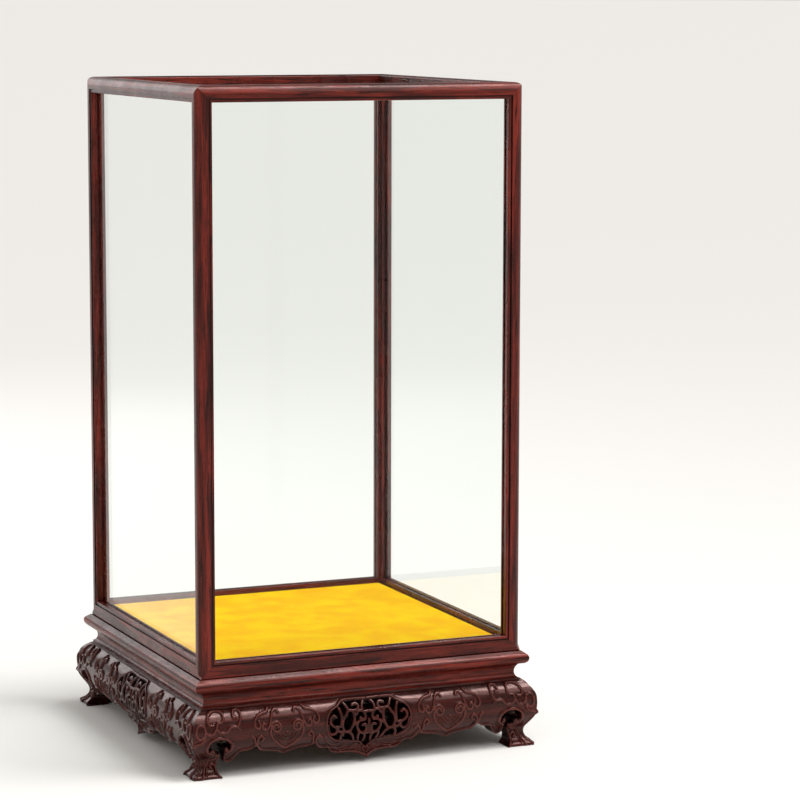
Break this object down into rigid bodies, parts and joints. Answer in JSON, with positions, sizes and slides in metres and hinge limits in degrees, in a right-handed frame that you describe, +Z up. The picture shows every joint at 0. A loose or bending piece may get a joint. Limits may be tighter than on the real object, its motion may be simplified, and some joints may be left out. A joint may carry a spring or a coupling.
{
  "type": "glass display case",
  "caption": "Square glazed hood with mitred hardwood frame that lifts off a carved, footed hardwood base with a velvet-covered display board.",
  "frame": {"origin": "on the floor, under the middle of the case", "axes": "+Z up, -Y towards the viewer at the front, +X to the front's right"},
  "size_m": [0.3252, 0.3252, 0.584],
  "materials": {
    "rosewood": "satin lacquer over dark-streaked red-brown grain",
    "inner_wood": "plain planed, unfinished",
    "fibreboard": "raw board",
    "velvet": "short golden yellow pile",
    "glass": "clear float glass",
    "steel": "zinc-plated"
  },
  "bodies": {
    "base": {"apron_front": "rosewood", "apron_right": "rosewood", "apron_back": "rosewood", "apron_left": "rosewood", "moulding_front": "rosewood", "moulding_right": "rosewood", "moulding_back": "rosewood", "moulding_left": "rosewood", "moulding_splines": "inner_wood", "deck_panel": "inner_wood", "batten_left": "inner_wood", "batten_right": "inner_wood", "batten_screws": "steel", "corner_block_front_right": "inner_wood", "corner_block_back_right": "inner_wood", "corner_block_back_left": "inner_wood", "corner_block_front_left": "inner_wood", "block_screws": "steel", "velvet_board": "fibreboard", "velvet_cover": "velvet", "board_screws": "steel"},
    "hood": {"post_front_right": "rosewood", "post_back_right": "rosewood", "post_back_left": "rosewood", "post_front_left": "rosewood", "top_rail_front": "rosewood", "top_rail_right": "rosewood", "top_rail_back": "rosewood", "top_rail_left": "rosewood", "bottom_rail_front": "rosewood", "bottom_rail_right": "rosewood", "bottom_rail_back": "rosewood", "bottom_rail_left": "rosewood", "glass_front": "glass", "glass_right": "glass", "glass_back": "glass", "glass_left": "glass", "glass_top": "glass", "hood_dowels": "inner_wood"}
  },
  "joints": [
    {"name": "hood_lift", "type": "slide", "parent": "base", "child": "hood", "axis": [0, 0, 1], "range_m": [0, 0.52]}
  ]
}
